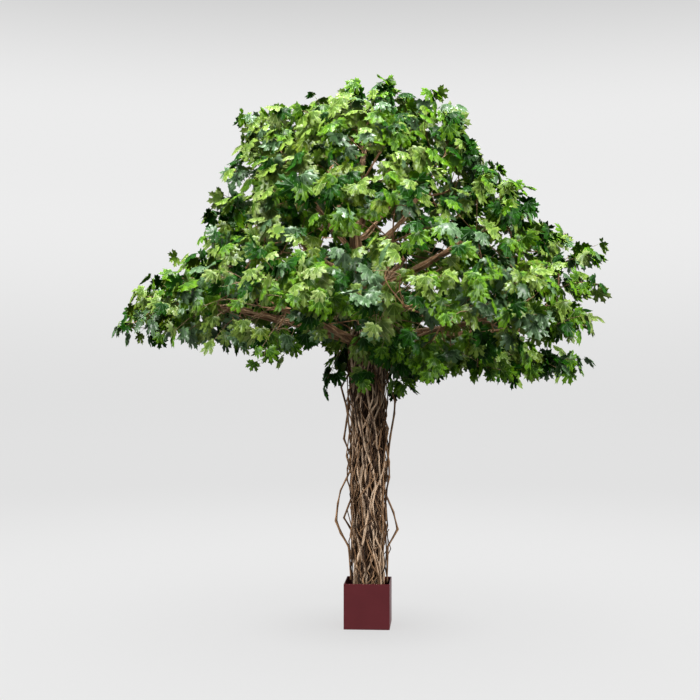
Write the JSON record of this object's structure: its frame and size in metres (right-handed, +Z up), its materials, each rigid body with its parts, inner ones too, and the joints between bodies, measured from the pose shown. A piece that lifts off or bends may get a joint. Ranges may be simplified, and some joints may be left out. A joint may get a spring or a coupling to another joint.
{
  "type": "artificial maple tree in pot",
  "caption": "Artificial maple tree with a domed green crown on bare boughs, above a trunk of bundled lianas that stands in a small square pot.",
  "frame": {"origin": "middle of the pot's flat underside", "axes": "+Z up along the trunk, +X towards the side with the lower, fuller skirt of leaves, -Y towards the front"},
  "size_m": [2.7434, 2.4773, 2.9937],
  "materials": {
    "leaves": "satin maple leaves",
    "boughs": "matt bark",
    "lianas": "matt fibrous bark",
    "pot": "satin dark red lacquer",
    "filling": "rough dark casting"
  },
  "bodies": {
    "root": {"cap_leaves": "leaves", "inner_leaves_1": "leaves", "inner_leaves_2": "leaves", "inner_leaves_3": "leaves", "leader": "boughs", "left_arm_leaves": "leaves", "liana_1": "lianas", "liana_2": "lianas", "liana_3": "lianas", "liana_4": "lianas", "liana_5": "lianas", "liana_6": "lianas", "liana_7": "lianas", "liana_8": "lianas", "pot": "pot", "pot_filling": "filling", "right_tip_leaves": "leaves", "shoulder_bough_1": "boughs", "shoulder_bough_2": "boughs", "shoulder_bough_3": "boughs", "shoulder_bough_4": "boughs", "shoulder_bough_5": "boughs", "shoulder_bough_6": "boughs", "shoulder_bough_7": "boughs", "shoulder_leaves_1": "leaves", "shoulder_leaves_2": "leaves", "shoulder_leaves_3": "leaves", "shoulder_leaves_4": "leaves", "shoulder_leaves_5": "leaves", "shoulder_leaves_6": "leaves", "shoulder_leaves_7": "leaves", "skirt_bough_1": "boughs", "skirt_bough_2": "boughs", "skirt_bough_3": "boughs", "skirt_bough_4": "boughs", "skirt_bough_5": "boughs", "skirt_bough_6": "boughs", "skirt_bough_7": "boughs", "skirt_bough_8": "boughs", "skirt_bough_9": "boughs", "skirt_leaves_1": "leaves", "skirt_leaves_2": "leaves", "skirt_leaves_3": "leaves", "skirt_leaves_4": "leaves", "skirt_leaves_5": "leaves", "skirt_leaves_6": "leaves", "skirt_leaves_7": "leaves", "skirt_leaves_8": "leaves", "skirt_leaves_9": "leaves", "trunk": "lianas", "upper_bough_1": "boughs", "upper_bough_2": "boughs", "upper_bough_3": "boughs", "upper_bough_4": "boughs", "upper_bough_5": "boughs", "upper_leaves_1": "leaves", "upper_leaves_2": "leaves", "upper_leaves_3": "leaves", "upper_leaves_4": "leaves", "upper_leaves_5": "leaves"}
  },
  "joints": []
}
